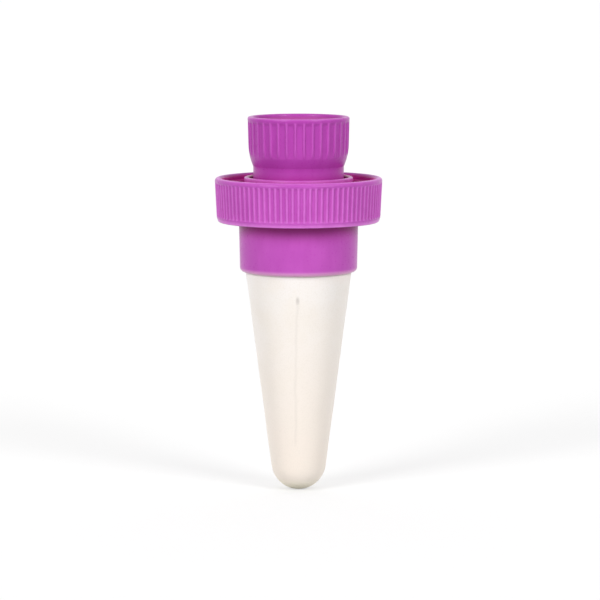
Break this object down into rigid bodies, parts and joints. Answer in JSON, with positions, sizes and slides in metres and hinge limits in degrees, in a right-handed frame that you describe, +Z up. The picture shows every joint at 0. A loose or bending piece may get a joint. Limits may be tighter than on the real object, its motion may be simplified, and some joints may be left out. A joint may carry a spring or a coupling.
{
  "type": "self watering spike",
  "caption": "Porous ceramic cone in a ribbed plastic holder whose threaded sockets take an upturned bottle or jug, to let water seep into a plant's soil.",
  "frame": {"origin": "on the axis at the soil line, the plane of the sleeve's lower lip, where the cone starts to show", "axes": "+Z up along the spike's axis, out of the bottle socket's mouth; -Y towards the viewer of the picture"},
  "size_m": [0.0526, 0.0526, 0.1181],
  "materials": {
    "white_ceramic": "unglazed, fine matt surface",
    "purple_plastic": "satin injection moulding",
    "purple_cup_plastic": "satin injection moulding",
    "seal_rubber": "matt"
  },
  "bodies": {
    "spike": {"ceramic_cone": "white_ceramic", "cone_gasket": "seal_rubber", "cone_sleeve": "purple_plastic", "jug_collar": "purple_plastic", "jug_washer": "seal_rubber"},
    "adapter_seal": {"adapter_o_ring": "seal_rubber"},
    "adapter": {"bottle_adapter": "purple_cup_plastic", "bottle_washer": "seal_rubber"}
  },
  "joints": [
    {"name": "adapter_rise", "type": "slide", "parent": "spike", "child": "adapter_seal", "axis": [0, 0, 1], "range_m": [0, 0.00825]},
    {"name": "adapter_turn", "type": "hinge", "parent": "adapter_seal", "child": "adapter", "pos_m": [0, 0, 0.0177], "axis": [0, 0, 1], "range_deg": [0, 990]}
  ],
  "couplings": [
    {"joint": "adapter_rise", "follows": "adapter_turn", "m_per_rad": 0.00047746}
  ]
}
